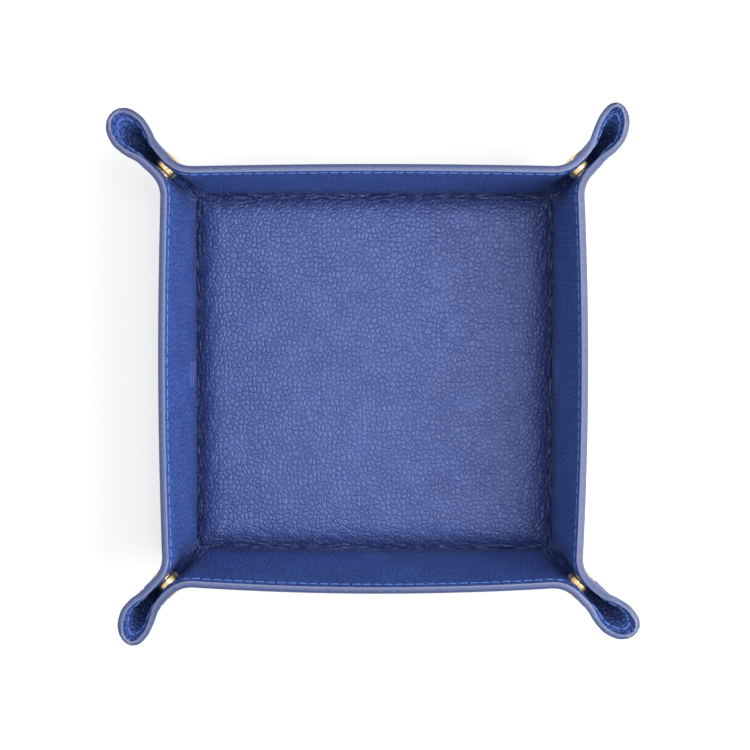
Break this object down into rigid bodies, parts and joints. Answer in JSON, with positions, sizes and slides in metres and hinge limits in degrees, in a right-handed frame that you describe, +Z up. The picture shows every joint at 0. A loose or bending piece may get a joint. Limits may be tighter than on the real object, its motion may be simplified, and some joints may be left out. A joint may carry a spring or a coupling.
{
  "type": "valet tray",
  "caption": "Square blue leather valet tray: padded floor, leaning stitched walls, and pinched corners held by brass snaps that unfasten so that it folds out flat.",
  "frame": {"origin": "middle of the underside, on the surface that the tray stands on", "axes": "+Z up, -Y towards the front wall, +X towards the right wall"},
  "size_m": [0.181, 0.181, 0.0388],
  "materials": {
    "outer_leather": "pebbled full grain, matt",
    "lining_leather": "pebbled full grain, soft sheen",
    "board": "raw fibreboard",
    "foam": "felted padding",
    "snap_brass": "polished",
    "spring_steel": "drawn wire"
  },
  "bodies": {
    "base": {"outer_base": "outer_leather", "base_board": "board", "base_pad": "foam", "floor_lining": "lining_leather"},
    "back_wall": {"back_wall_outer": "outer_leather", "back_wall_lining": "lining_leather"},
    "left_wall": {"left_wall_outer": "outer_leather", "left_wall_lining": "lining_leather"},
    "front_wall": {"front_wall_outer": "outer_leather", "front_wall_lining": "lining_leather"},
    "right_wall": {"right_wall_outer": "outer_leather", "right_wall_lining": "lining_leather"},
    "back_right_side": {"back_right_side_outer": "outer_leather", "back_right_side_lining": "lining_leather", "back_right_snap_cap": "snap_brass", "back_right_snap_socket": "snap_brass", "back_right_snap_spring": "spring_steel"},
    "back_right_half_loop": {"back_right_loop": "outer_leather"},
    "right_back_side": {"right_back_side_outer": "outer_leather", "right_back_side_lining": "lining_leather", "back_right_snap_stud": "snap_brass", "back_right_snap_back_cap": "snap_brass"},
    "right_back_half_loop": {"right_back_loop": "outer_leather"},
    "left_back_side": {"left_back_side_outer": "outer_leather", "left_back_side_lining": "lining_leather", "back_left_snap_stud": "snap_brass", "back_left_snap_back_cap": "snap_brass"},
    "left_back_half_loop": {"left_back_loop": "outer_leather"},
    "back_left_side": {"back_left_side_outer": "outer_leather", "back_left_side_lining": "lining_leather", "back_left_snap_cap": "snap_brass", "back_left_snap_socket": "snap_brass", "back_left_snap_spring": "spring_steel"},
    "back_left_half_loop": {"back_left_loop": "outer_leather"},
    "front_left_side": {"front_left_side_outer": "outer_leather", "front_left_side_lining": "lining_leather", "front_left_snap_cap": "snap_brass", "front_left_snap_socket": "snap_brass", "front_left_snap_spring": "spring_steel"},
    "front_left_half_loop": {"front_left_loop": "outer_leather"},
    "left_front_side": {"left_front_side_outer": "outer_leather", "left_front_side_lining": "lining_leather", "front_left_snap_stud": "snap_brass", "front_left_snap_back_cap": "snap_brass"},
    "left_front_half_loop": {"left_front_loop": "outer_leather"},
    "right_front_side": {"right_front_side_outer": "outer_leather", "right_front_side_lining": "lining_leather", "front_right_snap_stud": "snap_brass", "front_right_snap_back_cap": "snap_brass"},
    "right_front_half_loop": {"right_front_loop": "outer_leather"},
    "front_right_side": {"front_right_side_outer": "outer_leather", "front_right_side_lining": "lining_leather", "front_right_snap_cap": "snap_brass", "front_right_snap_socket": "snap_brass", "front_right_snap_spring": "spring_steel"},
    "front_right_half_loop": {"front_right_loop": "outer_leather"}
  },
  "joints": [
    {"name": "back_wall_fold", "type": "hinge", "parent": "base", "child": "back_wall", "pos_m": [0, 0.06401, 0.0012], "axis": [-1, 0, 0], "range_deg": [0, 76.5]},
    {"name": "left_wall_fold", "type": "hinge", "parent": "base", "child": "left_wall", "pos_m": [-0.06401, 0, 0.0012], "axis": [0, -1, 0], "range_deg": [0, 76.5]},
    {"name": "front_wall_fold", "type": "hinge", "parent": "base", "child": "front_wall", "pos_m": [0, -0.06401, 0.0012], "axis": [1, 0, 0], "range_deg": [0, 76.5], "deforming": ["back_right_snap_spring", "back_left_snap_spring", "front_left_snap_spring", "front_right_snap_spring"]},
    {"name": "right_wall_fold", "type": "hinge", "parent": "base", "child": "right_wall", "pos_m": [0.06401, 0, 0.0012], "axis": [0, 1, 0], "range_deg": [0, 76.5]},
    {"name": "back_right_side_crease", "type": "hinge", "parent": "back_wall", "child": "back_right_side", "pos_m": [0.06389, 0.06608, 0.01987], "axis": [-0.1711, -0.1711, -0.9703], "range_deg": [0, 45.86]},
    {"name": "back_right_loop_bend", "type": "hinge", "parent": "back_right_side", "child": "back_right_half_loop", "pos_m": [0.07155, 0.07469, 0.01701], "axis": [0.503, 0.5411, 0.6739], "range_deg": [0, 90], "deforming": ["back_right_loop"]},
    {"name": "right_back_side_crease", "type": "hinge", "parent": "right_wall", "child": "right_back_side", "pos_m": [0.06608, 0.06389, 0.01987], "axis": [0.1711, 0.1711, 0.9703], "range_deg": [0, 45.86]},
    {"name": "right_back_loop_bend", "type": "hinge", "parent": "right_back_side", "child": "right_back_half_loop", "pos_m": [0.07469, 0.07155, 0.01701], "axis": [-0.5411, -0.503, -0.6739], "range_deg": [0, 90], "deforming": ["right_back_loop"]},
    {"name": "left_back_side_crease", "type": "hinge", "parent": "left_wall", "child": "left_back_side", "pos_m": [-0.06608, 0.06389, 0.01987], "axis": [0.1711, -0.1711, -0.9703], "range_deg": [0, 45.86]},
    {"name": "left_back_loop_bend", "type": "hinge", "parent": "left_back_side", "child": "left_back_half_loop", "pos_m": [-0.07469, 0.07155, 0.01701], "axis": [-0.5411, 0.503, 0.6739], "range_deg": [0, 90], "deforming": ["left_back_loop"]},
    {"name": "back_left_side_crease", "type": "hinge", "parent": "back_wall", "child": "back_left_side", "pos_m": [-0.06389, 0.06608, 0.01987], "axis": [-0.1711, 0.1711, 0.9703], "range_deg": [0, 45.86]},
    {"name": "back_left_loop_bend", "type": "hinge", "parent": "back_left_side", "child": "back_left_half_loop", "pos_m": [-0.07155, 0.07469, 0.01701], "axis": [0.503, -0.5411, -0.6739], "range_deg": [0, 90], "deforming": ["back_left_loop"]},
    {"name": "front_left_side_crease", "type": "hinge", "parent": "front_wall", "child": "front_left_side", "pos_m": [-0.06389, -0.06608, 0.01987], "axis": [0.1711, 0.1711, -0.9703], "range_deg": [0, 45.86]},
    {"name": "front_left_loop_bend", "type": "hinge", "parent": "front_left_side", "child": "front_left_half_loop", "pos_m": [-0.07155, -0.07469, 0.01701], "axis": [-0.503, -0.5411, 0.6739], "range_deg": [0, 90], "deforming": ["front_left_loop"]},
    {"name": "left_front_side_crease", "type": "hinge", "parent": "left_wall", "child": "left_front_side", "pos_m": [-0.06608, -0.06389, 0.01987], "axis": [-0.1711, -0.1711, 0.9703], "range_deg": [0, 45.86]},
    {"name": "left_front_loop_bend", "type": "hinge", "parent": "left_front_side", "child": "left_front_half_loop", "pos_m": [-0.07469, -0.07155, 0.01701], "axis": [0.5411, 0.503, -0.6739], "range_deg": [0, 90], "deforming": ["left_front_loop"]},
    {"name": "right_front_side_crease", "type": "hinge", "parent": "right_wall", "child": "right_front_side", "pos_m": [0.06608, -0.06389, 0.01987], "axis": [-0.1711, 0.1711, -0.9703], "range_deg": [0, 45.86]},
    {"name": "right_front_loop_bend", "type": "hinge", "parent": "right_front_side", "child": "right_front_half_loop", "pos_m": [0.07469, -0.07155, 0.01701], "axis": [0.5411, -0.503, 0.6739], "range_deg": [0, 90], "deforming": ["right_front_loop"]},
    {"name": "front_right_side_crease", "type": "hinge", "parent": "front_wall", "child": "front_right_side", "pos_m": [0.06389, -0.06608, 0.01987], "axis": [0.1711, -0.1711, 0.9703], "range_deg": [0, 45.86]},
    {"name": "front_right_loop_bend", "type": "hinge", "parent": "front_right_side", "child": "front_right_half_loop", "pos_m": [0.07155, -0.07469, 0.01701], "axis": [-0.503, 0.5411, -0.6739], "range_deg": [0, 90], "deforming": ["front_right_loop"]}
  ],
  "couplings": [
    {"joint": "back_wall_fold", "follows": "front_wall_fold", "ratio": 1},
    {"joint": "left_wall_fold", "follows": "front_wall_fold", "ratio": 1},
    {"joint": "right_wall_fold", "follows": "front_wall_fold", "ratio": 1},
    {"joint": "back_right_side_crease", "follows": "front_wall_fold", "ratio": 0.59953},
    {"joint": "back_right_loop_bend", "follows": "front_wall_fold", "ratio": 1.1765},
    {"joint": "right_back_side_crease", "follows": "front_wall_fold", "ratio": 0.59953},
    {"joint": "right_back_loop_bend", "follows": "front_wall_fold", "ratio": 1.1765},
    {"joint": "left_back_side_crease", "follows": "front_wall_fold", "ratio": 0.59953},
    {"joint": "left_back_loop_bend", "follows": "front_wall_fold", "ratio": 1.1765},
    {"joint": "back_left_side_crease", "follows": "front_wall_fold", "ratio": 0.59953},
    {"joint": "back_left_loop_bend", "follows": "front_wall_fold", "ratio": 1.1765},
    {"joint": "front_left_side_crease", "follows": "front_wall_fold", "ratio": 0.59953},
    {"joint": "front_left_loop_bend", "follows": "front_wall_fold", "ratio": 1.1765},
    {"joint": "left_front_side_crease", "follows": "front_wall_fold", "ratio": 0.59953},
    {"joint": "left_front_loop_bend", "follows": "front_wall_fold", "ratio": 1.1765},
    {"joint": "right_front_side_crease", "follows": "front_wall_fold", "ratio": 0.59953},
    {"joint": "right_front_loop_bend", "follows": "front_wall_fold", "ratio": 1.1765},
    {"joint": "front_right_side_crease", "follows": "front_wall_fold", "ratio": 0.59953},
    {"joint": "front_right_loop_bend", "follows": "front_wall_fold", "ratio": 1.1765}
  ]
}
